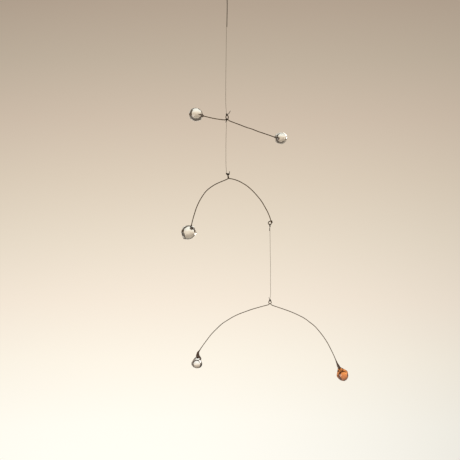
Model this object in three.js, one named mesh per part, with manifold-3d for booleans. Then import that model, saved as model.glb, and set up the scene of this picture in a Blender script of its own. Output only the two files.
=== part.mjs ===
// A hanging mobile: three arms of bent wire, one below another on threads, tipped with cut glass.
// Units are millimetres and +Z is up. The arms lie in the XZ plane. The origin is the point inside
// the top of the hanging ring where a hook bears.

import * as THREE from 'three';
import { mergeVertices } from 'three/addons/utils/BufferGeometryUtils.js';
import Module from 'manifold-3d';

const wasm = await Module();
wasm.setup();

// ---- Gaps between pieces ----
const HOLE_GAP = 0.3;       // between a wire and the drilled glass or cement round it
const LOOP_GAP = 0.2;       // between a thread's loop and the wire that it bears on
const COIL_GAP = 0.12;      // between two turns of one wire
const END_GAP = 0.3;        // between a thread and its own knots, where it is free to twist

// ---- Wire and thread ----
const WIRE_SIDES = 8;
const EYE_STATIONS = 24;    // along one full turn of an eye
const BRANCH_STATIONS = 16; // along one side of an arm
const THREAD_RADIUS = 0.2;
const THREAD_SIDES = 8;
const THREAD_STATIONS = 12;
const LOOP_SIDES = 6;
const LOOP_STATIONS = 5;    // along a quarter of a loop
const KNOT_RADIUS = 0.55;
const HOLE_SIDES = 12;

const RING = { innerRadius: 5, wireRadius: 0.5 };
const RING_BOTTOM = -2 * RING.innerRadius - RING.wireRadius;

// Each arm is measured from the middle of the wire at the top of its eye, as [x, z]. Angles are in
// degrees in the XZ plane, counted from +X towards +Z. A branch leaves the foot of the eye at the
// angle `leaves`, curves to `end` and arrives there at the angle `arrives`. Then it runs on
// straight, `inset` deep into the glass at the angle `entry`.
const TOP_ARM = {
  pivot: [0, -133.5],
  wireRadius: 0.45,
  eye: { halfWidth: 1.2, halfHeight: 2.2, turn: 0, lean: 0 },
  left: { leaves: 183, arrives: 165, pulls: [3, 9], end: [-23.5, -0.4], entry: 166, inset: 5.6 },
  right: { leaves: -22, arrives: -19, pulls: [13, 12], end: [48.3, -21.7], entry: -19, inset: 5 },
};

const MIDDLE_ARM = {
  pivot: [0, -192.2],
  wireRadius: 0.45,
  eye: { halfWidth: 1.4, halfHeight: 2.44, turn: -90, lean: 24.5 },
  left: { leaves: 205, arrives: 258, pulls: [14, 41], end: [-35.2, -51.8], entry: 260, inset: 4.5 },
  right: { leaves: -7, arrives: -77, pulls: [20, 18], end: [45, -48.8] },
  endEye: { radius: 1.6, tail: 2.2 },
};

const LOWER_ARM = {
  pivot: [MIDDLE_ARM.right.end[0] - MIDDLE_ARM.endEye.radius, -319.2],
  wireRadius: 0.375,
  eye: { halfWidth: 1.3, halfHeight: 1.5, turn: -50, lean: 0 },
  left: { leaves: 194, arrives: 236, pulls: [44, 33], end: [-71.9, -51.4], entry: 264, inset: 6.3 },
  right: { leaves: -19, arrives: -69, pulls: [30, 49], end: [67.6, -63.2], entry: -64, inset: 6.3 },
};

// Nuggets of glass. `outline` lists the flats round the edge as [direction in degrees, distance
// from the middle]. `depth` is the thickness, front to back.
const TOP_LEFT_BEAD = {
  centre: [-30.3, 1.2],
  depth: 14.4,
  outline: [
    [15, 6.4], [45, 6], [78, 6], [105, 6.5], [145, 6.9], [178, 7],
    [208, 7.3], [252, 6.9], [282, 6.8], [315, 7.3], [348, 7],
  ],
};
const TOP_RIGHT_BEAD = {
  centre: [54.4, -22.7],
  depth: 9.9,
  outline: [
    [0, 5.9], [36, 6.1], [85, 5.6], [114, 5.8], [153, 6.1], [190, 6.3],
    [233, 6.1], [266, 6], [301, 5.9], [340, 5.9],
  ],
};
const MIDDLE_LEFT_BEAD = {
  centre: [-37.7, -58.2],
  depth: 15,
  outline: [
    [25, 7.1], [85, 7.1], [101, 7.1], [132, 7.8], [166, 7.5], [200, 7.4],
    [264, 7.3], [290, 6.8], [316, 6.6],
  ],
};
const CROWN_TILT = 38;      // of the flats between the edge and the face, towards the face
const TABLE_TILT = 66;      // of the few flats next to the table
const CROWN_FULLNESS = 1.03;

// Pear-shaped drops, measured from the middle of the belly. Each row of flats is
// [elevation of the normal in degrees, distance, share of one flat's turn that the row is shifted].
// The upper rows are alike. The left drop ends in a round foot and the right one in a longer tip.
const DROP = {
  flats: 8,
  tip: 8.9,
  upperRows: [[36, 5.6, 0], [10, 5.5, 0.5]],
  neck: 2.2,
};
const LEFT_DROP = {
  foot: 5.5,
  depth: 10.2,
  lowerRows: [[-18, 5.45, 0], [-46, 5.5, 0.5], [-70, 5.5, 0]],
};
const RIGHT_DROP = {
  foot: 7,
  depth: 9.3,
  lowerRows: [[-18, 5.5, 0], [-46, 6.2, 0.5], [-68, 6.8, 0]],
};
const COLLAR = { topRadius: 0.9, footRadius: 1.35 };

// ---- Threads and knots ----
const HITCH_DROP = { ring: 1.9, arm: 2.4, endEye: 1.35 }; // from the wire down to the knot
const BRIDLE_RISE = 1.25;                                 // from an eye's top wire up to the knot

// ---- Colours ----
const STEEL = new THREE.Color(0.28, 0.24, 0.19);
const PALE_STEEL = new THREE.Color(0.5, 0.46, 0.38);
const THREAD_GREY = new THREE.Color(0.45, 0.41, 0.35);
const CLEAR = new THREE.Color(0.93, 0.93, 0.9);
const AMBER = new THREE.Color(0.85, 0.3, 0.07);
const CEMENT = new THREE.Color(0.2, 0.13, 0.08);

const wire = (color) => new THREE.MeshStandardMaterial({ color, roughness: 0.35, metalness: 0.9 });
const thread = () => new THREE.MeshStandardMaterial({ color: THREAD_GREY, roughness: 0.8, metalness: 0 });
const cement = () => new THREE.MeshStandardMaterial({ color: CEMENT, roughness: 0.5, metalness: 0 });
const glass = (color) => new THREE.MeshStandardMaterial({
  color, roughness: 0.03, metalness: 0, transparent: true, opacity: 0.4,
});

const radians = THREE.MathUtils.degToRad;

// The unit vector at an angle in the XZ plane.
function heading(degrees) {
  return new THREE.Vector3(Math.cos(radians(degrees)), 0, Math.sin(radians(degrees)));
}

function inPlane([x, z]) {
  return new THREE.Vector3(x, 0, z);
}

// ---- Solids ----

function toSolid(geometry) {
  const bare = geometry.clone();
  bare.deleteAttribute('normal');
  bare.deleteAttribute('uv');
  const merged = mergeVertices(bare, 1e-5);
  return new wasm.Manifold(new wasm.Mesh({
    numProp: 3,
    vertProperties: new Float32Array(merged.attributes.position.array),
    triVerts: new Uint32Array(merged.index.array),
  }));
}

function toGeometry(solid) {
  const mesh = solid.getMesh();
  const geometry = new THREE.BufferGeometry();
  geometry.setAttribute('position', new THREE.BufferAttribute(new Float32Array(mesh.vertProperties), 3));
  geometry.setIndex(new THREE.BufferAttribute(new Uint32Array(mesh.triVerts), 1));
  geometry.computeVertexNormals();
  return geometry;
}

function join(geometries) {
  return toGeometry(geometries.map(toSolid).reduce((whole, piece) => whole.add(piece)));
}

// A curve through stations that lie close together in tight bends and far apart elsewhere. Its
// parameter counts stations, so that a swept section is placed at each of them.
class StationPath extends THREE.Curve {
  constructor(stations) {
    super();
    this.stations = stations;
  }

  getUtoTmapping(u) {
    return u;
  }

  getPoint(t, target = new THREE.Vector3()) {
    const place = t * (this.stations.length - 1);
    const index = Math.min(Math.floor(place), this.stations.length - 2);
    return target.lerpVectors(this.stations[index], this.stations[index + 1], place - index);
  }
}

function roundBar(stations, radius, sides) {
  const corners = [];
  for (let i = 0; i < sides; i += 1) {
    const angle = (2 * Math.PI * i) / sides;
    corners.push(new THREE.Vector2(radius * Math.cos(angle), radius * Math.sin(angle)));
  }
  return new THREE.ExtrudeGeometry(new THREE.Shape(corners), {
    steps: stations.length - 1,
    extrudePath: new StationPath(stations),
    bevelEnabled: false,
  });
}

// ---- Wire arms ----

// One turn of an eye, from its foot over its top and back to its foot, where the two strands pass
// side by side. The middle of the wire at the top is the origin.
function eyeStations({ halfWidth, halfHeight }, pitch) {
  const stations = [];
  for (let i = 0; i <= EYE_STATIONS; i += 1) {
    const share = i / EYE_STATIONS;
    const angle = 2 * Math.PI * share - Math.PI / 2;
    stations.push(new THREE.Vector3(
      halfWidth * Math.cos(angle),
      pitch * (share - 0.5),
      halfHeight * (Math.sin(angle) - 1),
    ));
  }
  return stations;
}

// One side of an arm, from the foot of the eye outwards. `foot` is the end of the eye's turn and
// `away` the direction in which the wire runs there, and an elbow bends it into the branch.
function branchStations(foot, away, branch, elbow) {
  const leaving = heading(branch.leaves);
  const arriving = heading(branch.arrives);
  const end = inPlane(branch.end);
  const corner = foot.clone().addScaledVector(away, elbow);
  const start = corner.clone().addScaledVector(leaving, elbow);
  const bend = new THREE.QuadraticBezierCurve3(foot, corner, start);
  const sweep = new THREE.CubicBezierCurve3(
    start,
    start.clone().addScaledVector(leaving, branch.pulls[0]),
    end.clone().addScaledVector(arriving, -branch.pulls[1]),
    end,
  );
  return [...bend.getPoints(5).slice(1), ...sweep.getSpacedPoints(BRANCH_STATIONS).slice(1)];
}

function insetTip(branch) {
  return inPlane(branch.end).addScaledVector(heading(branch.entry), branch.inset);
}

// The small eye that ends a branch: it carries on down from the branch, turns once round below
// and up the far side, and stops in a short tail beside its own start.
function endEyeStations(branch, { radius, tail }, pitch) {
  const centre = inPlane(branch.end).add(new THREE.Vector3(-radius, 0, 0));
  const stations = [];
  for (let i = 1; i <= EYE_STATIONS; i += 1) {
    const share = i / EYE_STATIONS;
    const angle = -2 * Math.PI * share;
    stations.push(new THREE.Vector3(
      centre.x + radius * Math.cos(angle),
      pitch * (share - 0.25),
      centre.z + radius * Math.sin(angle),
    ));
  }
  const last = stations[stations.length - 1];
  stations.push(last.clone().addScaledVector(heading(-98), tail));
  return stations;
}

function armWire(arm) {
  const pitch = 2 * arm.wireRadius + COIL_GAP;
  const elbow = 1.5 * arm.wireRadius + 0.3;
  const placing = new THREE.Matrix4()
    .makeRotationY(radians(-arm.eye.lean))
    .multiply(new THREE.Matrix4().makeRotationZ(radians(arm.eye.turn)));
  const eye = eyeStations(arm.eye, pitch).map((station) => station.applyMatrix4(placing));
  const along = new THREE.Vector3(1, 0, 0).transformDirection(placing);

  const leftStations = branchStations(eye[0], along.clone().negate(), arm.left, elbow);
  leftStations.push(insetTip(arm.left));
  const rightStations = branchStations(eye[eye.length - 1], along, arm.right, elbow);
  if (arm.endEye) {
    rightStations.push(...endEyeStations(arm.right, arm.endEye, pitch));
  } else {
    rightStations.push(insetTip(arm.right));
  }
  return roundBar([...leftStations.reverse(), ...eye, ...rightStations], arm.wireRadius, WIRE_SIDES);
}

// ---- Cut glass ----

const BLOCK = 40;

// Grinds a flat on a solid: everything beyond the plane at that distance along the normal goes.
function grind(solid, normal, distance) {
  const wheel = new THREE.BoxGeometry(BLOCK, BLOCK, BLOCK);
  const turned = new THREE.Quaternion().setFromUnitVectors(new THREE.Vector3(0, 0, 1), normal);
  wheel.applyQuaternion(turned);
  wheel.translate(...normal.clone().multiplyScalar(distance + BLOCK / 2).toArray());
  return solid.subtract(toSolid(wheel));
}

function blank() {
  return toSolid(new THREE.BoxGeometry(BLOCK / 2, BLOCK / 2, BLOCK / 2));
}

// A blind hole from the tip of the wire straight out through the surface.
function drill(stone, branch, wireRadius) {
  const radius = wireRadius + HOLE_GAP;
  const length = branch.inset + BLOCK / 4;
  const outwards = heading(branch.entry).negate();
  const tip = insetTip(branch).addScaledVector(outwards, -HOLE_GAP);
  const bit = new THREE.CylinderGeometry(radius, radius, length, HOLE_SIDES);
  bit.translate(0, length / 2, 0);
  bit.applyQuaternion(new THREE.Quaternion().setFromUnitVectors(new THREE.Vector3(0, 1, 0), outwards));
  bit.translate(tip.x, tip.y, tip.z);
  return toGeometry(toSolid(stone).subtract(toSolid(bit)));
}

// A bead cut like a nugget: a many-sided edge, a ring of tilted flats and a few steeper ones on
// both faces, and a table in the middle of each face.
function nugget({ centre, depth, outline }, branch, wireRadius) {
  const halfDepth = depth / 2;
  let stone = blank();
  for (const [direction, distance] of outline) {
    stone = grind(stone, heading(direction), distance);
  }
  for (const face of [-1, 1]) {
    const facing = new THREE.Vector3(0, face, 0);
    outline.forEach(([direction, distance], index) => {
      const tilts = index % 2 ? [CROWN_TILT] : [CROWN_TILT, TABLE_TILT];
      for (const tilt of tilts) {
        const across = Math.cos(radians(tilt));
        const forward = Math.sin(radians(tilt));
        const normal = heading(direction).multiplyScalar(across).addScaledVector(facing, forward);
        const reach = CROWN_FULLNESS * Math.hypot(distance * across, halfDepth * forward);
        stone = grind(stone, normal, reach);
      }
    });
    stone = grind(stone, facing, halfDepth);
  }
  const shaped = toGeometry(stone);
  shaped.translate(centre[0], 0, centre[1]);
  return drill(shaped, branch, wireRadius);
}

// Turns a shape that hangs straight down, so that it hangs along a branch's entry from its end.
function hangFrom(geometry, branch) {
  geometry.applyQuaternion(new THREE.Quaternion().setFromUnitVectors(
    new THREE.Vector3(0, 0, -1),
    heading(branch.entry),
  ));
  const end = inPlane(branch.end);
  geometry.translate(end.x, end.y, end.z);
  return geometry;
}

// A pear-shaped drop: rows of flats round its axis, cut off at the tip and at the foot, and
// narrower from front to back than from side to side.
function drop({ foot, depth, lowerRows }, branch, wireRadius) {
  let stone = blank();
  for (const [elevation, distance, shift] of [...DROP.upperRows, ...lowerRows]) {
    const level = Math.cos(radians(elevation));
    for (let i = 0; i < DROP.flats; i += 1) {
      const round = (2 * Math.PI * (i + shift)) / DROP.flats;
      const normal = new THREE.Vector3(
        level * Math.sin(round),
        -level * Math.cos(round),
        Math.sin(radians(elevation)),
      );
      stone = grind(stone, normal, distance);
    }
  }
  stone = grind(stone, new THREE.Vector3(0, 0, 1), DROP.tip);
  stone = grind(stone, new THREE.Vector3(0, 0, -1), foot);
  const shaped = toGeometry(stone);
  shaped.computeBoundingBox();
  shaped.scale(1, depth / (shaped.boundingBox.max.y - shaped.boundingBox.min.y), 1);
  shaped.translate(0, 0, -DROP.neck - DROP.tip);
  return drill(hangFrom(shaped, branch), branch, wireRadius);
}

// The cone of cement round the wire above a drop's tip.
function collar(branch, wireRadius) {
  const bore = wireRadius + HOLE_GAP;
  const foot = END_GAP - DROP.neck;
  const profile = [
    new THREE.Vector2(bore, foot),
    new THREE.Vector2(COLLAR.footRadius, foot),
    new THREE.Vector2(COLLAR.topRadius, 0),
    new THREE.Vector2(bore, 0),
    new THREE.Vector2(bore, foot),
  ];
  const cone = new THREE.LatheGeometry(profile, HOLE_SIDES);
  cone.rotateX(Math.PI / 2);
  return hangFrom(cone, branch);
}

// ---- Threads and knots ----

// A thread's loop round one wire, or round two that lie `spread` to each side of the middle, and
// the knot that closes it. The wire is at the origin, the knot is `toKnot` above or below it, and
// the loop's plane is upright and turned from the XZ plane by `turn`. The cut end stands off the
// knot through the points of `tail`, as [x, z].
function loopAndKnot({ wireRadius, spread, toKnot, turn, tail }) {
  const reach = wireRadius + LOOP_GAP + THREAD_RADIUS;
  const farSide = -Math.sign(toKnot);
  const strand = 1.1 * THREAD_RADIUS;
  const stations = [new THREE.Vector3(-strand, 0, toKnot)];
  for (const side of [-1, 1]) {
    for (let i = 0; i <= LOOP_STATIONS; i += 1) {
      const share = side < 0 ? i / LOOP_STATIONS : 1 - i / LOOP_STATIONS;
      const angle = (Math.PI / 2) * share;
      stations.push(new THREE.Vector3(
        side * (spread + reach * Math.cos(angle)),
        0,
        farSide * reach * Math.sin(angle),
      ));
    }
  }
  stations.push(new THREE.Vector3(strand, 0, toKnot));
  const distinct = stations.filter((station, index) => (
    index === 0 || station.distanceTo(stations[index - 1]) > 0.01
  ));

  const loop = roundBar(distinct, THREAD_RADIUS, LOOP_SIDES);
  loop.rotateZ(radians(turn));
  const knot = new THREE.SphereGeometry(KNOT_RADIUS, 10, 6);
  knot.rotateX(Math.PI / 2);
  knot.translate(0, 0, toKnot);
  const end = roundBar(tail.map(inPlane), THREAD_RADIUS, LOOP_SIDES);
  return join([loop, knot, end]);
}

function straightThread(topZ, bottomZ) {
  const stations = [];
  for (let i = 0; i <= THREAD_STATIONS; i += 1) {
    stations.push(new THREE.Vector3(0, 0, topZ + ((bottomZ - topZ) * i) / THREAD_STATIONS));
  }
  return roundBar(stations, THREAD_RADIUS, THREAD_SIDES);
}

// ---- The mobile ----

const mobile = new THREE.Group();

function place(name, geometry, material, [x, z] = [0, 0]) {
  const mesh = new THREE.Mesh(geometry, material);
  mesh.name = name;
  mesh.position.set(x, 0, z);
  mobile.add(mesh);
}

// One thread with its knots: the hitch round the wire that it hangs on, the straight stretch, and
// the bridle round the eye that it carries.
function hang(name, { x, hitchZ, hitch, bridleZ, bridle }) {
  place(`${name}_hitch`, loopAndKnot(hitch), thread(), [x, hitchZ]);
  place(`${name}_bridle`, loopAndKnot(bridle), thread(), [x, bridleZ]);
  const stretch = straightThread(
    hitchZ + hitch.toKnot - KNOT_RADIUS - END_GAP,
    bridleZ + bridle.toKnot + KNOT_RADIUS + END_GAP,
  );
  place(`${name}_thread`, stretch, thread(), [x, 0]);
}

const ring = new THREE.TorusGeometry(RING.innerRadius + RING.wireRadius, RING.wireRadius, WIRE_SIDES, 36);
ring.rotateX(Math.PI / 2);
place('hanging_ring', ring, wire(STEEL), [0, -RING.innerRadius]);

const topFootZ = TOP_ARM.pivot[1] - 2 * TOP_ARM.eye.halfHeight;
const endEyeZ = MIDDLE_ARM.pivot[1] + MIDDLE_ARM.right.end[1] - MIDDLE_ARM.endEye.radius;

hang('top', {
  x: 0,
  hitchZ: RING_BOTTOM,
  hitch: {
    wireRadius: RING.wireRadius,
    spread: 0,
    toKnot: -HITCH_DROP.ring,
    turn: 90,
    tail: [[0.2, -HITCH_DROP.ring], [0.7, -3.6], [0.6, -18], [0.5, -34.5]],
  },
  bridleZ: TOP_ARM.pivot[1],
  bridle: {
    wireRadius: TOP_ARM.wireRadius,
    spread: 0,
    toKnot: BRIDLE_RISE,
    turn: TOP_ARM.eye.turn + 90,
    tail: [[0, BRIDLE_RISE], [1.6, 1.1], [3.9, 4.7]],
  },
});

hang('middle', {
  x: 0,
  hitchZ: topFootZ,
  hitch: {
    wireRadius: TOP_ARM.wireRadius,
    spread: TOP_ARM.wireRadius + COIL_GAP / 2,
    toKnot: -HITCH_DROP.arm,
    turn: TOP_ARM.eye.turn + 90,
    tail: [[0, -HITCH_DROP.arm], [-0.9, -3.2]],
  },
  bridleZ: MIDDLE_ARM.pivot[1],
  bridle: {
    wireRadius: MIDDLE_ARM.wireRadius,
    spread: 0,
    toKnot: BRIDLE_RISE,
    turn: MIDDLE_ARM.eye.turn + 90,
    tail: [[0, BRIDLE_RISE], [1.4, 1.5], [1.7, 3.3]],
  },
});

hang('lower', {
  x: LOWER_ARM.pivot[0],
  hitchZ: endEyeZ,
  hitch: {
    wireRadius: MIDDLE_ARM.wireRadius,
    spread: 0,
    toKnot: -HITCH_DROP.endEye,
    turn: 90,
    tail: [[0, -HITCH_DROP.endEye], [-0.6, -2.6], [-0.5, -6.6]],
  },
  bridleZ: LOWER_ARM.pivot[1],
  bridle: {
    wireRadius: LOWER_ARM.wireRadius,
    spread: 0,
    toKnot: BRIDLE_RISE,
    turn: LOWER_ARM.eye.turn + 90,
    tail: [[0, BRIDLE_RISE], [-0.8, 2], [-0.9, 3.7]],
  },
});

place('top_arm', armWire(TOP_ARM), wire(STEEL), TOP_ARM.pivot);
place('middle_arm', armWire(MIDDLE_ARM), wire(STEEL), MIDDLE_ARM.pivot);
place('lower_arm', armWire(LOWER_ARM), wire(PALE_STEEL), LOWER_ARM.pivot);

for (const [name, arm, side, shape] of [
  ['top_left_bead', TOP_ARM, 'left', TOP_LEFT_BEAD],
  ['top_right_bead', TOP_ARM, 'right', TOP_RIGHT_BEAD],
  ['middle_left_bead', MIDDLE_ARM, 'left', MIDDLE_LEFT_BEAD],
]) {
  place(name, nugget(shape, arm[side], arm.wireRadius), glass(CLEAR), arm.pivot);
}

for (const [side, branch, shape, color] of [
  ['left', LOWER_ARM.left, LEFT_DROP, CLEAR],
  ['right', LOWER_ARM.right, RIGHT_DROP, AMBER],
]) {
  place(`lower_${side}_collar`, collar(branch, LOWER_ARM.wireRadius), cement(), LOWER_ARM.pivot);
  place(`lower_${side}_drop`, drop(shape, branch, LOWER_ARM.wireRadius), glass(color), LOWER_ARM.pivot);
}

export default mobile;
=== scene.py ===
"""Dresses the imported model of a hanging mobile: wire arms on threads, tipped with cut glass."""

import math

import bmesh
import bpy
import numpy as np
from mathutils import Matrix, Vector


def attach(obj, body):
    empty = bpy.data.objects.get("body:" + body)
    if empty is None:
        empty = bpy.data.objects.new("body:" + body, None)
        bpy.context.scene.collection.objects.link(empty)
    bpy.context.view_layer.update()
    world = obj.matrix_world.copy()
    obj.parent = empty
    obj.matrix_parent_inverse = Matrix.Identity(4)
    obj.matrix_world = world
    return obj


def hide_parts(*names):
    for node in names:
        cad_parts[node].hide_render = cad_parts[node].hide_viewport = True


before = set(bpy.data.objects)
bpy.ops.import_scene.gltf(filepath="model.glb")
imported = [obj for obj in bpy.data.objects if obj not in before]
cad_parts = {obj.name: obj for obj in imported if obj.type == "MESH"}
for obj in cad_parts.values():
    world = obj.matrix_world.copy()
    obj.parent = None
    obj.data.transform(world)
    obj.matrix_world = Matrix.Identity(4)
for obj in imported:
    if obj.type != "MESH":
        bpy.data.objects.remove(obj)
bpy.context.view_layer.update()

# Sizes are in millimetres, and become metres when a mesh is made. Pivots, wire radii and the sides
# of the arms have the CAD's values, and the flats of the glass are read from the CAD. The eyes,
# threads, knots and cement are shaped here. They depart from the CAD's: the cement by up to 6 mm,
# the others by up to 3.
MM = 0.001
rng = np.random.default_rng(7)


def linked(name, data):
    """A new object in the scene, from a mesh, a lamp's data or the camera's."""
    made = bpy.data.objects.new(name, data)
    bpy.context.scene.collection.objects.link(made)
    return made


# ---------------------------------------------------------------- camera

PHOTO_CENTRE = (3.5, -248.0)   # what the photograph's middle looks at, as x and z
PHOTO_WIDTH = 460.0            # how much of the plane of the arms it shows
CAMERA_DISTANCE = 1.15
SENSOR = 36.0

camera_data = bpy.data.cameras.new("camera")
camera_data.sensor_width = SENSOR
camera_data.lens = SENSOR * CAMERA_DISTANCE / (PHOTO_WIDTH * MM)
camera_data.clip_start, camera_data.clip_end = 0.01, 30.0
camera = linked("camera", camera_data)
camera.location = (PHOTO_CENTRE[0] * MM, -CAMERA_DISTANCE, PHOTO_CENTRE[1] * MM)
camera.rotation_euler = (math.pi / 2, 0.0, 0.0)
bpy.context.scene.camera = camera
bpy.context.scene.view_settings.view_transform = "Standard"

# ---------------------------------------------------------------- lines


def heading(degrees):
    """The unit vector at an angle in the XZ plane, from +X towards +Z."""
    return np.array([math.cos(math.radians(degrees)), 0.0, math.sin(math.radians(degrees))])


def in_plane(point):
    """The point (x, z) in the plane of the arms."""
    return np.array([point[0], 0.0, point[1]], float)


def bezier(controls, count):
    """A Bezier curve of any degree, as count + 1 points."""
    t = np.linspace(0, 1, count + 1)[:, None]
    points = [np.repeat(np.array(c, float)[None, :], len(t), 0) for c in controls]
    while len(points) > 1:
        points = [a * (1 - t) + b * t for a, b in zip(points, points[1:])]
    return points[0]


def lengths(line):
    """How far along the line each of its points is."""
    return np.concatenate([[0], np.cumsum(np.linalg.norm(np.diff(line, axis=0), axis=1))])


def spaced(line, step):
    """The same line with points about step apart."""
    along = lengths(line)
    at = np.linspace(0, along[-1], max(3, round(along[-1] / step) + 1))
    return np.stack([np.interp(at, along, line[:, k]) for k in range(3)], axis=1)


def softened(line, step, reach):
    """The line with points step apart and its corners rounded over about reach on each side."""
    line = spaced(np.array(line, float), step)
    half = max(1, round(reach / step))
    weights = np.hanning(2 * half + 3)[1:-1]
    weights /= weights.sum()
    before = 2 * line[0] - line[half:0:-1]
    after = 2 * line[-1] - line[-2:-half - 2:-1]
    padded = np.concatenate([before, line, after])
    return np.stack([np.convolve(padded[:, k], weights, "valid") for k in range(3)], axis=1)


def turned(line, degrees):
    """The line turned about the Z axis."""
    return np.array(line, float) @ np.array(Matrix.Rotation(math.radians(degrees), 3, "Z")).T


# ---------------------------------------------------------------- tubes


class Shape:
    """Points and faces in millimetres, with a grain coordinate round and along each tube."""

    def __init__(self):
        self.points, self.faces, self.grain = [], [], []
        self.count = 0

    def add(self, points, faces, grain):
        self.points.append(points)
        self.grain.append(grain)
        self.faces += [[i + self.count for i in face] for face in faces]
        self.count += len(points)

    def piece(self, name, material, body, slot, replaces=()):
        mesh = bpy.data.meshes.new(name)
        points = np.concatenate(self.points) * MM
        mesh.from_pydata(points.tolist(), [], self.faces)
        mesh.polygons.foreach_set("use_smooth", [True] * len(mesh.polygons))
        grain = mesh.attributes.new("grain", "FLOAT_VECTOR", "POINT")
        grain.data.foreach_set("vector", np.concatenate(self.grain).astype(np.float32).ravel())
        mesh.materials.append(material)
        mesh.update()
        return dressed(linked(name, mesh), body, replaces)


def dressed(made, body, replaces=()):
    """Puts a piece on its CAD body, in place of the nodes it replaces."""
    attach(made, body)
    if replaces:
        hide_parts(*replaces)
    return made


def axes_along(line):
    """Two unit vectors square to the line at each point, which don't twist as it bends."""
    tangents = np.gradient(line, axis=0)
    tangents /= np.linalg.norm(tangents, axis=1)[:, None]
    guess = np.array([0.0, 1.0, 0.0]) if abs(tangents[0][1]) < 0.8 else np.array([1.0, 0.0, 0.0])
    firsts = []
    for tangent in tangents:
        guess = guess - (guess @ tangent) * tangent
        guess /= np.linalg.norm(guess)
        firsts.append(guess)
    firsts = np.array(firsts)
    return firsts, np.cross(tangents, firsts)


PLY_GROOVE = 0.22       # depth of the groove between two plies, as a share of the yarn's radius


def tube(shape, line, radii, sides, plies=0, pitch=1.0):
    """A closed tube along the line. With plies its section is that of twisted yarn."""
    radii = np.broadcast_to(np.array(radii, float), (len(line),))
    first, second = axes_along(line)
    along = lengths(line)
    angle = np.linspace(0, 2 * math.pi, sides, endpoint=False)[None, :]
    twist = 2 * math.pi * along[:, None] / pitch if plies else np.zeros((len(line), 1))
    section = np.ones((len(line), sides))
    if plies:
        ridges = np.abs(np.cos(plies / 2 * (angle - twist)))
        section = 1 - PLY_GROOVE + PLY_GROOVE * ridges
    reach = radii[:, None] * section
    points = (
        line[:, None, :]
        + first[:, None, :] * (reach * np.cos(angle))[:, :, None]
        + second[:, None, :] * (reach * np.sin(angle))[:, :, None]
    )
    grain = np.stack([
        np.cos(angle - twist) + 0 * along[:, None],
        np.sin(angle - twist) + 0 * along[:, None],
        np.repeat(along[:, None], sides, 1),
    ], axis=2)
    faces = []
    for i in range(len(line) - 1):
        for j in range(sides):
            k = (j + 1) % sides
            faces.append([i * sides + j, i * sides + k, (i + 1) * sides + k, (i + 1) * sides + j])
    last = (len(line) - 1) * sides
    faces.append(list(range(sides - 1, -1, -1)))
    faces.append(list(range(last, last + sides)))
    shape.add(points.reshape(-1, 3), faces, grain.reshape(-1, 3))


CUT_FACE = 0.55         # radius of the flat that is left on a cut end, as a share of the wire's


def cut_radii(line, radius, bevel=0.35):
    """The radii of a wire or thread whose cut ends are a little rounded."""
    along = lengths(line)
    radii = np.full(len(line), radius)
    for distance in (along, along[-1] - along):
        share = np.clip(distance / (bevel * radius), 0, 1)
        rounding = np.sqrt(1 - (1 - share) ** 2)
        radii = np.minimum(radii, radius * (CUT_FACE + (1 - CUT_FACE) * rounding))
    return radii


# ---------------------------------------------------------------- materials


class Nodes:
    """A material's node tree, with short calls to add and join nodes."""

    def __init__(self, name):
        self.material = bpy.data.materials.new(name)
        self.material.use_nodes = True
        self.tree = self.material.node_tree
        self.tree.nodes.clear()
        self.output = self.tree.nodes.new("ShaderNodeOutputMaterial")

    def add(self, kind, sockets=None, **settings):
        node = self.tree.nodes.new("ShaderNode" + kind)
        for key, value in settings.items():
            setattr(node, key, value)
        for key, value in (sockets or {}).items():
            if isinstance(value, bpy.types.NodeSocket):
                self.tree.links.new(value, node.inputs[key])
            else:
                node.inputs[key].default_value = value
        return node

    def surface(self, sockets):
        shader = self.add("BsdfPrincipled", sockets)
        self.tree.links.new(shader.outputs["BSDF"], self.output.inputs["Surface"])

    def place(self, scale, source="Object"):
        """Coordinates in millimetres, or the grain's, stretched by scale."""
        if source == "grain":
            out = self.add("Attribute", attribute_name="grain").outputs["Vector"]
            factor = 1.0
        else:
            out = self.add("TexCoord").outputs["Object"]
            factor = 1 / MM
        stretch = tuple(factor * s for s in scale)
        return self.add("Mapping", {"Vector": out, "Scale": stretch}).outputs["Vector"]

    def noise(self, vector, scale=1.0, detail=3.0, roughness=0.55):
        return self.add(
            "TexNoise",
            {"Vector": vector, "Scale": scale, "Detail": detail, "Roughness": roughness},
        ).outputs["Fac"]

    def math(self, operation, first, second):
        return self.add("Math", {0: first, 1: second}, operation=operation).outputs[0]

    def emit(self, sockets):
        shader = self.add("Emission", sockets)
        self.tree.links.new(shader.outputs["Emission"], self.output.inputs["Surface"])

    def ramp(self, factor, *stops):
        """A colour ramp from stops of (position, colour or grey)."""
        node = self.add("ValToRGB", {"Fac": factor})
        stops = [(at, (v, v, v) if isinstance(v, (int, float)) else v) for at, v in stops]
        elements = node.color_ramp.elements
        while len(elements) < len(stops):
            elements.new(0.5)
        for element, (at, colour) in zip(elements, stops):
            element.position = at
            element.color = (*colour, 1.0)
        return node.outputs["Color"]

    def bump(self, height, strength, distance):
        return self.add(
            "Bump", {"Height": height, "Strength": strength, "Distance": distance * MM}
        ).outputs["Normal"]


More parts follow.
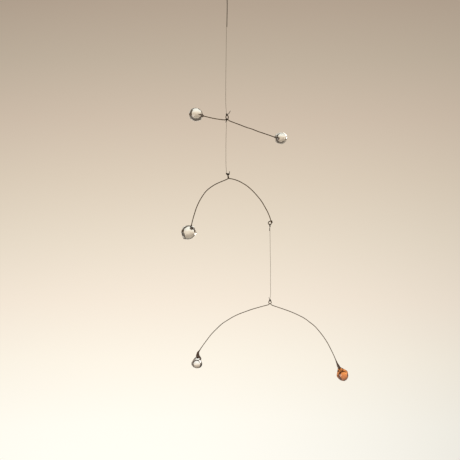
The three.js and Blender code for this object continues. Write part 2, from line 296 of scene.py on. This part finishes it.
def steel(name, dark, light, roughness):
    """Drawn wire with patches of oxide, fine lines along it and a few bright rubbed spots."""
    n = Nodes(name)
    patches = n.noise(n.place((0.6, 0.6, 0.6)), detail=6.0, roughness=0.65)
    lines = n.noise(n.place((5.0, 5.0, 0.12), "grain"), detail=3.0)
    spots = n.noise(n.place((1.4, 1.4, 1.4)), detail=2.0)
    mixed = n.math("ADD", patches, n.math("MULTIPLY", lines, 0.35))
    rubbed = tuple(min(1, 1.6 * c) for c in light)
    n.surface({
        "Base Color": n.ramp(mixed, (0.55, dark), (0.72, light), (0.92, rubbed)),
        "Metallic": 0.9,
        "Specular IOR Level": 0.1,
        "Specular Tint": (0.42, 0.33, 0.22, 1.0),
        "Roughness": n.ramp(spots, (0.35, roughness - 0.12), (0.7, roughness + 0.16)),
        "Normal": n.bump(mixed, 0.25, 0.03),
    })
    return n.material


def yarn(name, dark, light, sheen, specular):
    """Twisted thread: fibres run along each ply, and the grooves between plies are darker."""
    n = Nodes(name)
    fibres = n.noise(n.place((4.0, 4.0, 1.1), "grain"), detail=4.0, roughness=0.7)
    patches = n.noise(n.place((0.12, 0.12, 0.12)), detail=2.0)
    mixed = n.math("ADD", fibres, patches)
    n.surface({
        "Base Color": n.ramp(mixed, (0.75, dark), (1.15, light)),
        "Roughness": n.ramp(fibres, (0.3, 0.62), (0.7, 0.85)),
        "Sheen Weight": sheen,
        "Specular IOR Level": specular,
        "Sheen Roughness": 0.4,
        "Normal": n.bump(fibres, 0.5, 0.05),
    })
    return n.material


def glass(name, colour, bending, clearness=1.0):
    """Clear glass by plain values. Only its polish varies: haze, fine scratches and ripple."""
    n = Nodes(name)
    haze = n.noise(n.place((0.5, 0.5, 0.5)), detail=3.0)
    scratches = n.noise(n.place((0.25, 6.0, 3.0)), detail=2.0)
    ripple = n.noise(n.place((0.16, 0.16, 0.16)), detail=1.0)
    height = n.math("ADD", ripple, n.math("MULTIPLY", scratches, 0.04))
    n.surface({
        "Base Color": colour,
        "Roughness": n.ramp(haze, (0.5, 0.0), (0.8, 0.05)),
        "IOR": bending,
        "Transmission Weight": clearness,
        "Normal": n.bump(height, 0.15, 0.2),
    })
    return n.material


def cement(name, dark, light):
    """Set jeweller's cement, dark and a little glossy, with small lumps."""
    n = Nodes(name)
    lumps = n.noise(n.place((1.2, 1.2, 1.2)), detail=4.0)
    n.surface({
        "Base Color": n.ramp(lumps, (0.35, dark), (0.7, light)),
        "Roughness": n.ramp(lumps, (0.3, 0.28), (0.7, 0.5)),
        "Coat Weight": 0.3,
        "Normal": n.bump(lumps, 0.4, 0.15),
    })
    return n.material


DARK_STEEL = steel("dark_steel_wire", (0.030, 0.018, 0.0070), (0.085, 0.054, 0.022), 0.38)
# Painted light: a paler copy of the steel for the lower arm, which hangs in brighter light.
LIT_STEEL = steel("pale_steel_wire", (0.045, 0.030, 0.014), (0.115, 0.080, 0.042), 0.36)
THREAD = yarn("thread", (0.10, 0.085, 0.065), (0.21, 0.18, 0.14), 0.2, 0.4)
# Painted shade: the thread of the knots is painted near black, standing in for the shade in and
# round them.
SHADED_KNOT = yarn("shaded_knot_thread", (0.005, 0.003, 0.0015), (0.028, 0.018, 0.009), 0.0, 0.2)
CLEAR = glass("clear_glass", (0.985, 0.978, 0.968, 1.0), 1.56)
STRAW = glass("straw_glass", (0.975, 0.965, 0.915, 1.0), 1.62)
AMBER = glass("amber_glass", (0.90, 0.33, 0.10, 1.0), 1.58, 0.96)
CEMENT = cement("brown_cement", (0.030, 0.013, 0.006), (0.110, 0.052, 0.026))

# ---------------------------------------------------------------- the arms' and threads' sizes

COIL_GAP = 0.12         # between two turns of one wire
LOOP_GAP = 0.05         # between a wire and the thread round it
THREAD_RADIUS = 0.2
RING_RADIUS, RING_WIRE, RING_CENTRE = 5.5, 0.5, -5.0
RING_BOTTOM = RING_CENTRE - RING_RADIUS

# Places are (x, z) from the arm's pivot, which is the middle of the wire at the top of the CAD's
# eye. The finished eye is shaped anew, and its top lies `off` from there. Angles are in degrees
# from +X towards +Z: how a side leaves the eye, arrives at its end, and how the wire then goes into
# the glass, by its inset. The pulls are those of the Bezier curve between them, and the dip is how
# far the side starts below the corner at the eye's foot.
TOP_ARM = {
    "pivot": (0.0, -133.5), "radius": 0.45,
    "eye": {"half_width": 1.2, "half_height": 2.1, "turn": 0, "lean": 3, "off": (0.5, 0.35)},
    "left": {"leaves": 183, "arrives": 165, "pulls": (3, 9), "end": (-23.5, -0.4),
             "entry": 166, "inset": 5.6, "dip": 0.5},
    "right": {"leaves": -22, "arrives": -19, "pulls": (13, 12), "end": (48.3, -21.7),
              "entry": -19, "inset": 5, "dip": 1.0},
}
MIDDLE_ARM = {
    "pivot": (0.0, -192.2), "radius": 0.45,
    "eye": {"half_width": 1.4, "half_height": 2.15, "turn": -90, "lean": 9.6, "off": (1.3, -0.2)},
    "left": {"leaves": 205, "arrives": 258, "pulls": (14, 41), "end": (-35.2, -51.8),
             "entry": 260, "inset": 4.5},
    "right": {"leaves": -7, "arrives": -77, "pulls": (20, 18), "end": (45.0, -48.8)},
    "end_eye": {"radius": 1.6, "tail": 2.6},
}
LOWER_ARM = {
    "pivot": (43.4, -319.2), "radius": 0.375,
    "eye": {"half_width": 1.5, "half_height": 1.6, "turn": -24, "lean": 0, "off": (0.1, 0.55)},
    "left": {"leaves": 194, "arrives": 236, "pulls": (44, 33), "end": (-71.9, -51.4),
             "entry": 264, "inset": 6.3, "dip": 0.75},
    "right": {"leaves": -19, "arrives": -69, "pulls": (30, 49), "end": (67.6, -63.2),
              "entry": -64, "inset": 6.3, "dip": 1.0},
}
# The heights at which a thread hangs from the foot of the top arm's eye and from the end eye.
TOP_FOOT = -137.5
END_EYE = MIDDLE_ARM["pivot"][1] + MIDDLE_ARM["right"]["end"][1] - MIDDLE_ARM["end_eye"]["radius"]

# ---------------------------------------------------------------- threads and knots

YARN_SIDES, YARN_PITCH, YARN_PLIES, YARN_STEP = 15, 1.3, 3, 0.13
KNOTTED_RADIUS = 0.24   # of the thread in a knot, where it is thicker
LOOP_STRAND = 0.16      # how far each strand of a loop is from the knot's middle
COIL_PITCH = 0.44       # of the thread's turns round a wire
COIL_STEPS = 24         # along one of those turns
WRAPS = 3.0             # turns of the thread's end round itself in a knot
WRAP_PITCH, WRAP_RADIUS = 0.36, 0.48
WRAP_STEPS, TAIL_STEPS, LUMP_STEPS = 110, 60, 90
TAIL_SWELLS_OVER = 1.5  # length over which a tail comes to its full thickness
LUMP_RADIUS, LUMP_TURNS = 0.75, 3.4


def yarn_tube(shape, line, radius, swell=1.0):
    """Three-ply thread with cut ends. Swell makes it thicker or thinner, all along or by place."""
    radii = cut_radii(line, radius) * swell
    tube(shape, line, radii, YARN_SIDES, YARN_PLIES, YARN_PITCH)


def loop_line(wire_radius, spread, to_knot, coils):
    """Round one wire at the origin, or two side by side, from the knot and back to it."""
    reach = wire_radius + LOOP_GAP + 0.85 * KNOTTED_RADIUS
    up = math.copysign(1, to_knot)
    aside, beyond = COIL_PITCH / 2, to_knot + up * 0.5
    line = [(-LOOP_STRAND, -aside, beyond), (-LOOP_STRAND, -aside, to_knot)]
    steps = COIL_STEPS * coils - COIL_STEPS // 2
    for angle in np.radians(np.linspace(180, 360 * coils, steps + 1)):
        side = math.copysign(spread, math.cos(angle))
        turn = angle / (2 * math.pi) - 0.25 - coils / 2
        line.append((
            side + reach * math.cos(angle), COIL_PITCH * turn, up * reach * math.sin(angle)))
    return line + [(LOOP_STRAND, aside, to_knot), (LOOP_STRAND, aside, beyond)]


def wrap_line(to_knot):
    """The turns of the thread's end round itself, out from the wire."""
    turns = np.linspace(0, 2 * math.pi * WRAPS, WRAP_STEPS)
    angle = turns - turns[-1]
    height = (turns / (2 * math.pi) - WRAPS / 2) * WRAP_PITCH
    return np.stack([
        WRAP_RADIUS * np.cos(angle),
        WRAP_RADIUS * np.sin(angle),
        to_knot + math.copysign(1, to_knot) * height,
    ], axis=1)


def lump_line():
    """A thread wound into a small ball, as an overhand knot looks when it is drawn tight."""
    share = np.linspace(0.06, 0.94, LUMP_STEPS)
    polar, around = math.pi * share, 2 * math.pi * LUMP_TURNS * share
    ball = LUMP_RADIUS * np.stack([
        np.sin(polar) * np.cos(around), np.sin(polar) * np.sin(around), np.cos(polar)], axis=1)
    return softened(ball, 0.09, 0.15)


def knot(name, body, node, at, wire_radius, to_knot, turn, tail, coils=2, spread=0, thick=1.0,
         off=(0, 0), lumps=()):
    """A thread's end: its turns round the wire, a few turns round itself, and the cut tail.

    The knot is to_knot above the wire, and turn swings its loop about the thread. Spread is half
    the distance between two wires that it holds, and thick the tail's thickness. Off is where the
    wire lies from `at`, and lumps where overhand knots are drawn down on it."""
    shape = Shape()
    origin = in_plane(at)
    loop = np.array(loop_line(wire_radius, spread, to_knot, coils), float)
    loop[2:-2] += turned([in_plane(off)], -turn)
    yarn_tube(shape, turned(softened(loop, 0.08, 0.24), turn) + origin, KNOTTED_RADIUS)
    wraps = wrap_line(to_knot)
    cut_end = bezier([wraps[-1], *map(in_plane, tail)], TAIL_STEPS)[4:]
    line = softened(np.concatenate([wraps, cut_end]), 0.09, 0.22)
    share = np.clip((lengths(line) - lengths(wraps)[-1]) / TAIL_SWELLS_OVER, 0, 1)
    yarn_tube(shape, line + origin, KNOTTED_RADIUS, 1 + (thick - 1) * share)
    for lump in lumps:
        yarn_tube(shape, lump_line() + in_plane(lump) + origin, KNOTTED_RADIUS)
    # The knots take the thread painted near black, as painted shade.
    return shape.piece(name, SHADED_KNOT, body, "thread", [node])


def thread(name, body, node, top, bottom, x, bow):
    """The straight stretch between two knots. bow lists how far it strays from the plumb line."""
    heights = [top, *[z for z, _ in bow], bottom]
    offsets = [0, *[dx for _, dx in bow], 0]
    z = np.linspace(top, bottom, 25)
    stray = np.interp(-z, [-h for h in heights], offsets)
    route = softened(np.stack([x + stray, 0 * z, z], axis=1), 0.5, 5.0)
    shape = Shape()
    yarn_tube(shape, spaced(route, YARN_STEP), THREAD_RADIUS)
    piece = shape.piece(name, THREAD, body, "thread", [node])


top_hitch = knot(
    "top_knot_on_ring", "hanger", "top_hitch", (0, RING_BOTTOM), RING_WIRE,
    to_knot=-1.9, turn=90, tail=[(0.9, -3.4), (1.0, -18), (0.5, -34.5)])
top_bridle = knot(
    "top_knot_on_arm", "top_line", "top_bridle", TOP_ARM["pivot"], TOP_ARM["radius"],
    to_knot=1.2, turn=90, tail=[(1.7, 0.3), (2.7, 2.6), (3.9, 4.7)], coils=3, thick=1.3,
    off=TOP_ARM["eye"]["off"], lumps=[(0.4, 0.6)])
middle_hitch = knot(
    "middle_knot_above", "middle_hanger", "middle_hitch", (0, TOP_FOOT), TOP_ARM["radius"],
    to_knot=-0.95, turn=90, tail=[(-0.8, -1.8), (-0.9, -3.0)], coils=3,
    spread=TOP_ARM["radius"] + COIL_GAP / 2, lumps=[(0.4, 0.25)])
middle_bridle = knot(
    "middle_knot_below", "middle_line", "middle_bridle", MIDDLE_ARM["pivot"],
    MIDDLE_ARM["radius"],
    to_knot=0.5, turn=0, tail=[(1.6, 0.1), (3.4, 0.2), (3.0, 3.0)], coils=3, thick=1.2,
    off=MIDDLE_ARM["eye"]["off"], lumps=[(0.7, 0.05), (2.3, 0.05), (1.6, -0.5)])
lower_hitch = knot(
    "lower_knot_above", "lower_hanger", "lower_hitch", (LOWER_ARM["pivot"][0], END_EYE),
    MIDDLE_ARM["radius"],
    to_knot=-1.35, turn=90, tail=[(-0.5, -3.0), (-0.3, -6.4)], thick=1.3)
lower_bridle = knot(
    "lower_knot_below", "lower_line", "lower_bridle", LOWER_ARM["pivot"], LOWER_ARM["radius"],
    to_knot=1.2, turn=40, tail=[(-0.8, 2.2), (-0.9, 3.9)], coils=3,
    off=LOWER_ARM["eye"]["off"], lumps=[(0.25, 0.85)])
thread(
    "top_line_thread", "top_line", "top_thread", RING_BOTTOM - 2.2, -132.0, 0,
    [(-20, 0.5), (-30, 0.4), (-38, 0.0), (-58, -0.2), (-80, -0.5), (-104, -0.8), (-122, -0.8)])
thread(
    "middle_line_thread", "middle_line", "middle_thread", TOP_FOOT - 0.9, -191.5, 0,
    [(-147, -0.2), (-155, -0.5), (-165, -0.6), (-182, -0.6)])
thread(
    "lower_line_thread", "lower_line", "lower_thread", END_EYE - 1.6, -317.9,
    LOWER_ARM["pivot"][0],
    [(-258, 0.2), (-272, 0.35), (-280, 0.6), (-304, 0.6), (-311, 0.8)])

# ---------------------------------------------------------------- wire

WIRE_SIDES, WIRE_STEP, WIRE_BEND = 20, 0.16, 0.5
EYE_STEPS = 60
WAVE, WAVE_LENGTH = 0.10, 17.0      # of the hand's slow waves along a side of an arm
RIPPLE, RIPPLE_LENGTH = 0.05, 1.9   # and of its short ones, per radian
TAIL_HEADING = 102                  # of the cut end beside the end eye, in degrees


def eye_line(eye, pitch):
    """One turn of an eye from its foot, and the way in which its wire runs there.

    Its two strands pass side by side at the foot."""
    share = np.linspace(0, 1, EYE_STEPS + 1)
    angle = 2 * math.pi * share - math.pi / 2
    line = np.stack([
        eye["half_width"] * np.cos(angle),
        pitch * (share - 0.5),
        eye["half_height"] * (np.sin(angle) - 1),
    ], axis=1)
    place = Matrix.Rotation(math.radians(-eye["lean"]), 3, "Y")
    place = np.array(place @ Matrix.Rotation(math.radians(eye["turn"]), 3, "Z"))
    return line @ place.T + in_plane(eye["off"]), place @ np.array([1.0, 0.0, 0.0])


def branch_line(foot, away, branch, elbow):
    """One side of an arm, from the foot of the eye outwards, with slight waves from the hand."""
    leaving, arriving = heading(branch["leaves"]), heading(branch["arrives"])
    end = in_plane(branch["end"])
    corner = foot + elbow * away
    start = corner + elbow * leaving - in_plane((0, branch.get("dip", 0)))
    bend = bezier([foot, corner, start], 8)
    first, second = branch["pulls"]
    sweep = spaced(bezier([start, start + first * leaving, end - second * arriving, end], 160), 0.5)
    along = lengths(sweep)
    share = along / along[-1]
    phase, other = rng.uniform(0, 2 * math.pi, 2)
    wave = WAVE * np.sin(2 * math.pi * along / WAVE_LENGTH + phase)
    wave += RIPPLE * np.sin(along / RIPPLE_LENGTH + other)
    fading = np.sin(math.pi * share) ** 2
    aside = np.array([-arriving[2], 0.35, arriving[0]])
    sweep = sweep + (wave * fading)[:, None] * aside
    return np.concatenate([bend[1:], sweep[1:]])


def tip_of(branch):
    """The wire's tip inside the glass."""
    return in_plane(branch["end"]) + branch["inset"] * heading(branch["entry"])


def end_eye_line(branch, end_eye, pitch):
    """The small eye that ends a branch: once round, then a short tail beside its own start."""
    radius = end_eye["radius"]
    centre = in_plane(branch["end"]) - np.array([radius, 0, 0])
    share = np.linspace(0, 1, EYE_STEPS + 1)[1:]
    line = centre + np.stack([
        radius * np.cos(2 * math.pi * share),
        pitch * (share - 0.25),
        -radius * np.sin(2 * math.pi * share),
    ], axis=1)
    # The end of the turn opens outwards, and comes back to the arm's own plane.
    opening = 0.75 * np.clip((share - 0.55) / 0.45, 0, 1)[:, None] ** 2
    line = line + opening * (line - centre) / radius * np.array([1.0, 0.0, 1.0])
    line[:, 1] -= np.clip((share - 0.75) / 0.25, 0, 1) * (line[-1, 1] - 0.1)
    tail = line[-1] + end_eye["tail"] * heading(TAIL_HEADING)
    return np.concatenate([line, [tail]])


def arm_wire(name, body, node, arm, material, slot):
    """An arm's one wire. Returns the middle of it, from its left tip."""
    pitch = 2 * arm["radius"] + COIL_GAP
    elbow = 1.5 * arm["radius"] + 0.3
    eye, away = eye_line(arm["eye"], pitch)
    left = [*branch_line(eye[0], -away, arm["left"], elbow), tip_of(arm["left"])]
    right = branch_line(eye[-1], away, arm["right"], elbow)
    if "end_eye" in arm:
        ending = end_eye_line(arm["right"], arm["end_eye"], pitch)
    else:
        ending = tip_of(arm["right"])[None, :]
    line = np.concatenate([left[::-1], eye, right, ending])
    line = softened(line, WIRE_STEP, WIRE_BEND) + in_plane(arm["pivot"])
    shape = Shape()
    tube(shape, line, cut_radii(line, arm["radius"]), WIRE_SIDES)
    shape.piece(name, material, body, slot, [node])
    return line


top_line = arm_wire("top_arm_wire", "top_tier", "top_arm", TOP_ARM, DARK_STEEL, "dark_steel_wire")
middle_line = arm_wire(
    "middle_arm_wire", "middle_tier", "middle_arm", MIDDLE_ARM, DARK_STEEL, "dark_steel_wire")
# The lower arm's wire is painted paler, as painted light.
lower_line = arm_wire(
    "lower_arm_wire", "lower_tier", "lower_arm", LOWER_ARM, LIT_STEEL, "pale_steel_wire")

# The hanging ring is a jump ring: one turn of wire whose ends meet at its side, with a fine cut
# between them. In degrees, and in millimetres by how far one end lies behind the other.
RING_CUT_AT, RING_CUT, RING_OFFSET = 20, 1.2, 0.08
RING_STEPS, RING_SIDES = 200, 24
ring_angle = np.radians(RING_CUT_AT + np.linspace(RING_CUT / 2, 360 - RING_CUT / 2, RING_STEPS))
ring_line = np.stack([
    RING_RADIUS * np.cos(ring_angle),
    np.linspace(-RING_OFFSET / 2, RING_OFFSET / 2, len(ring_angle)),
    RING_CENTRE + RING_RADIUS * np.sin(ring_angle),
], axis=1)
ring_shape = Shape()
tube(ring_shape, ring_line, cut_radii(ring_line, RING_WIRE, bevel=0.2), RING_SIDES)
ring_shape.piece("jump_ring", DARK_STEEL, "hanger", "dark_steel_wire", ["hanging_ring"])

# ---------------------------------------------------------------- glass

FLAT_TOLERANCE = 0.05   # how far a point may stand out from a face that counts as a flat
GLASS_SUBDIVISIONS = 6  # of the ball that each piece of glass is shaped from


def flats_of(node):
    """The middle of the CAD's glass, and its flats as unit normals and distances from there."""
    work = bmesh.new()
    work.from_mesh(node.data)
    work.transform(node.matrix_world)
    points = np.array([v.co[:] for v in work.verts])
    centre = (points.min(axis=0) + points.max(axis=0)) / 2
    flats = {}
    for face in work.faces:
        normal = np.array(face.normal)
        distance = normal @ (np.array(face.verts[0].co) - centre)
        if ((points - centre) @ normal <= distance + FLAT_TOLERANCE * MM).all():
            flats[tuple(np.round(normal, 3))] = (normal, distance)
    work.free()
    return centre, *map(np.array, zip(*flats.values()))


def cut_glass(name, body, node, material, slot, crispness, fullness):
    """The CAD's own flats, with the edges between them softened as polishing leaves them.

    Cut edges are crisp at a high crispness and melted at a low one. Fullness swells the whole, to
    make up in part for what the softening takes off. The CAD's drilled hole is left out."""
    centre, normals, distances = flats_of(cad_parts[node])
    work = bmesh.new()
    bmesh.ops.create_icosphere(work, subdivisions=GLASS_SUBDIVISIONS, radius=1.0)
    rays = np.array([v.co[:] for v in work.verts])
    rays /= np.linalg.norm(rays, axis=1)[:, None]
    share = np.clip(rays @ normals.T, 0, None) / distances
    peak = share.max(axis=1)
    softness = ((share / peak[:, None]) ** crispness).sum(axis=1) ** (1 / crispness)
    reach = fullness / (peak * softness)
    for vertex, point in zip(work.verts, centre + rays * reach[:, None]):
        vertex.co = point
    for face in work.faces:
        face.smooth = True
    mesh = bpy.data.meshes.new(name)
    work.to_mesh(mesh)
    work.free()
    mesh.materials.append(material)
    dressed(linked(name, mesh), body, [node])


GLASSES = [   # name, body, node, material, slot, crispness, fullness
    ("top_left_glass", "top_tier", "top_left_bead", STRAW, "clear_glass", 60, 1.0),
    ("top_right_glass", "top_tier", "top_right_bead", STRAW, "clear_glass", 60, 1.0),
    ("middle_left_glass", "middle_tier", "middle_left_bead", STRAW, "clear_glass", 60, 1.0),
    ("lower_left_glass", "lower_tier", "lower_left_drop", CLEAR, "clear_glass", 12, 1.035),
    ("lower_right_glass", "lower_tier", "lower_right_drop", AMBER, "amber_glass", 30, 1.035),
]
for row in GLASSES:
    cut_glass(*row)

# ---------------------------------------------------------------- cement

# Radii of the cement along a branch's entry: distance past the branch's end, then radius.
TOP_LEFT_CEMENT = [(-1.2, 0.44), (-0.7, 0.7), (-0.2, 1.15), (0.4, 1.3), (0.9, 0.8), (1.4, 0.46)]
TOP_RIGHT_CEMENT = [(-1.0, 0.44), (-0.3, 0.8), (0.3, 0.85), (1.0, 0.5), (3.0, 0.6), (4.0, 1.0)]
MIDDLE_CEMENT = [(-1.2, 0.44), (-0.6, 0.7), (0.0, 1.0), (0.6, 0.8), (1.6, 0.7), (2.8, 0.85)]
LEFT_DROP_CEMENT = [
    (-6.0, 0.36), (-3.0, 0.48), (-1.0, 0.8), (0.6, 1.3), (1.6, 1.5), (2.6, 1.6), (3.4, 1.7),
    (4.0, 1.8), (4.3, 1.7), (4.6, 1.2), (5.6, 0.9)]
RIGHT_DROP_CEMENT = [
    (-6.0, 0.40), (-3.0, 0.6), (-1.0, 0.85), (0.6, 1.1), (1.6, 1.25), (2.6, 1.4), (3.4, 1.5),
    (4.0, 1.5), (4.3, 1.3), (4.6, 1.0), (5.6, 0.8)]
# Where it ran down over the clear drop's shoulder: places from the branch's end, then radii.
LEFT_DROP_RUN = [
    ((0.0, -1.8), 0.9), ((0.2, -3.1), 1.35), ((0.9, -4.2), 1.35), ((1.8, -5.0), 1.1),
    ((2.6, -5.9), 0.75), ((3.2, -6.9), 0.4)]
CEMENT_SIDES, CEMENT_STEP = 20, 0.12
CEMENT_AT_TIP = 0.36    # its radius at the wire's tip, inside the wire


def cement_piece(name, body, line, arm, side, profile, replaces=(), run=()):
    """Cement round the wire at the glass, and down the drilled hole to the wire's tip.

    line is the middle of the wire from its tip, and the profile's distances count from the end of
    the branch towards the tip. A run goes down over the glass beside it."""
    branch = arm[side]
    inset = branch["inset"]
    at, radii = zip(*profile, (inset - 0.3, profile[-1][1]), (inset, CEMENT_AT_TIP))
    route = softened(line[inset - lengths(line) > at[0]], CEMENT_STEP, 0.3)
    past = inset - lengths(route)
    lumps = 1 + 0.04 * np.sin(1.7 * past + rng.uniform(0, 6)) + 0.015 * np.sin(4.3 * past)
    shape = Shape()
    tube(shape, route, np.interp(past, at, radii) * lumps, CEMENT_SIDES)
    if run:
        end = in_plane(arm["pivot"]) + in_plane(branch["end"])
        places = end + np.array([in_plane(place) for place, _ in run])
        down = softened(places, CEMENT_STEP, 0.6)
        radii = np.interp(lengths(down), lengths(places), [radius for _, radius in run])
        tube(shape, down, cut_radii(down, 1.0, bevel=0.4) * radii, CEMENT_SIDES)
    shape.piece(name, CEMENT, body, "brown_cement", replaces)


cement_piece("top_left_cement", "top_tier", top_line, TOP_ARM, "left", TOP_LEFT_CEMENT)
cement_piece("top_right_cement", "top_tier", top_line[::-1], TOP_ARM, "right", TOP_RIGHT_CEMENT)
cement_piece("middle_left_cement", "middle_tier", middle_line, MIDDLE_ARM, "left", MIDDLE_CEMENT)
cement_piece(
    "lower_left_cement", "lower_tier", lower_line, LOWER_ARM, "left", LEFT_DROP_CEMENT,
    ["lower_left_collar"], LEFT_DROP_RUN)
cement_piece(
    "lower_right_cement", "lower_tier", lower_line[::-1], LOWER_ARM, "right", RIGHT_DROP_CEMENT,
    ["lower_right_collar"])

# ---------------------------------------------------------------- stage and light


def linear(*levels):
    """An sRGB colour of levels up to 255 as linear light."""
    shares = [level / 255 for level in levels]
    return tuple(c / 12.92 if c <= 0.04045 else ((c + 0.055) / 1.055) ** 2.4 for c in shares)


# From here on sizes are in metres.
ROOM_RADIUS, COVE_RADIUS = 2.6, 0.6
ROOM_SIDES, COVE_STEPS = 72, 12
FLOOR, WALL_TOP = -1.2, 1.6
VIEW_CENTRE = in_plane(PHOTO_CENTRE) * MM
# The height and width of wall that the photo's view shows behind the object, and its top.
SPREAD = (CAMERA_DISTANCE + ROOM_RADIUS) / CAMERA_DISTANCE * PHOTO_WIDTH * MM
SEEN_TOP = PHOTO_CENTRE[1] * MM + SPREAD / 2
BACKDROP = [           # share of the view down from its top, and the colour seen there
    (-0.60, (182, 169, 150)), (-0.20, (170, 155, 137)),
    (0.01, (180, 163, 145)), (0.13, (192, 177, 158)), (0.26, (208, 191, 172)),
    (0.39, (221, 206, 186)), (0.52, (233, 220, 201)), (0.65, (245, 232, 215)),
    (0.78, (252, 244, 229)), (0.91, (255, 251, 240)), (1.20, (255, 255, 248)),
]
BRIGHTEST, FADE = 1.012, 0.085     # in the middle of the wall, and how much it falls off


def backdrop_material():
    """A pale wall, brighter lower down. It fades to both sides, and there more to the right."""
    n = Nodes("pale_backdrop")
    place = n.add("SeparateXYZ", {"Vector": n.add("TexCoord").outputs["Object"]})
    low = SEEN_TOP - BACKDROP[-1][0] * SPREAD
    high = SEEN_TOP - BACKDROP[0][0] * SPREAD
    height = n.add("MapRange", {
        "Value": place.outputs["Z"], "From Min": high, "From Max": low}).outputs["Result"]
    span = BACKDROP[-1][0] - BACKDROP[0][0]
    stops = [((at - BACKDROP[0][0]) / span, linear(*colour)) for at, colour in BACKDROP]
    across = n.add("MapRange", {
        "Value": place.outputs["X"], "From Min": -SPREAD / 2, "From Max": SPREAD / 2,
        "To Min": -1.0, "To Max": 1.0}).outputs["Result"]
    down = n.add("MapRange", {
        "Value": place.outputs["Z"], "From Min": SEEN_TOP, "From Max": SEEN_TOP - SPREAD,
    }).outputs["Result"]
    fade = n.math("MULTIPLY", across, n.math("ADD", across, down))
    strength = n.math("SUBTRACT", BRIGHTEST, n.math("MULTIPLY", fade, FADE))
    n.emit({"Color": n.ramp(height, *stops), "Strength": strength})
    return n.material


def stage_mesh(name, points, faces, material):
    """A piece of the stage, which isn't part of the object."""
    mesh = bpy.data.meshes.new(name)
    mesh.from_pydata(points, [], faces)
    mesh.materials.append(material)
    made = linked(name, mesh)
    return made


def room():
    """A round floor that curves up into a wall, all round the object."""
    profile = [(0.0, FLOOR), (1.0, FLOOR)]
    for i in range(COVE_STEPS + 1):
        angle = math.pi / 2 * i / COVE_STEPS
        profile.append((
            ROOM_RADIUS - COVE_RADIUS + COVE_RADIUS * math.sin(angle),
            FLOOR + COVE_RADIUS * (1 - math.cos(angle)),
        ))
    profile += [(ROOM_RADIUS, 0.0), (ROOM_RADIUS, WALL_TOP)]
    points, faces = [], []
    for radius, z in profile:
        for j in range(ROOM_SIDES):
            angle = 2 * math.pi * j / ROOM_SIDES
            points.append((radius * math.sin(angle), radius * math.cos(angle), z))
    for i in range(len(profile) - 1):
        here, above = i * ROOM_SIDES, (i + 1) * ROOM_SIDES
        for j in range(ROOM_SIDES):
            k = (j + 1) % ROOM_SIDES
            faces.append([here + j, here + k, above + k, above + j])
    mesh = stage_mesh("room", points, faces, backdrop_material()).data
    mesh.validate()
    mesh.polygons.foreach_set("use_smooth", [True] * len(mesh.polygons))


room()

world = bpy.data.worlds.new("world")
world.use_nodes = True
world.node_tree.nodes["Background"].inputs["Color"].default_value = (*linear(135, 121, 102), 1)
bpy.context.scene.world = world


def veil_shade():
    """Painted shade: a dark brown that glows faintly and takes no light, for the veil."""
    n = Nodes("veil_shade")
    shade_variation = n.noise(n.place((0.02, 0.02, 0.02)), detail=2.0)
    n.emit({"Color": n.ramp(shade_variation, (0.3, linear(46, 28, 12)), (0.7, linear(66, 42, 20)))})
    return n.material


# A dark veil behind the object, a ring on a ball round it, puts painted shade on the glass as dark
# rims. It is hidden from the camera in every view, since it crosses the right-hand corners of the
# main one and stands in full sight of others: it shows only through the glass and as a reflection.
# Its angles are in degrees off the main camera's line of sight.
VEIL_RADIUS = 0.95
VEIL_INNER, VEIL_OUTER = 37, 68
VEIL_LEAN, VEIL_LEAN_TOWARDS = 8, -5   # the inner edge comes closer on one side
VEIL_WAIST = 3                         # and is wider open above and below than at the sides
VEIL_SIDES, VEIL_STEPS = 72, 4


def veil():
    """The veil as a band of quads, from its inner edge to its outer one."""
    points, faces = [], []
    row = VEIL_STEPS + 1
    for i in range(VEIL_SIDES):
        roll = 2 * math.pi * i / VEIL_SIDES
        inner = VEIL_INNER - VEIL_LEAN * math.cos(roll - math.radians(VEIL_LEAN_TOWARDS))
        inner -= VEIL_WAIST * math.cos(2 * roll)
        for angle in np.radians(np.linspace(inner, VEIL_OUTER, row)):
            direction = np.array([
                math.sin(angle) * math.cos(roll), math.cos(angle),
                math.sin(angle) * math.sin(roll)])
            points.append(VIEW_CENTRE + VEIL_RADIUS * direction)
    for i in range(VEIL_SIDES):
        for j in range(VEIL_STEPS):
            a, b = i * row + j, (i + 1) % VEIL_SIDES * row + j
            faces.append([a, b, b + 1, a + 1])
    stage_mesh("veil", points, faces, veil_shade()).visible_camera = False


veil()


def soft_light(name, location, power, size, colour):
    """A round lamp that faces the middle of the view."""
    data = bpy.data.lights.new(name, "AREA")
    data.shape, data.size, data.energy, data.color = "DISK", size, power, colour
    lamp = linked(name, data)
    lamp.location = location
    direction = Vector(VIEW_CENTRE) - Vector(location)
    lamp.rotation_euler = direction.to_track_quat("-Z", "Y").to_euler()


soft_light("left_light", (-1.2, -1.3, -0.7), 9.0, 1.1, (1.0, 0.96, 0.9))
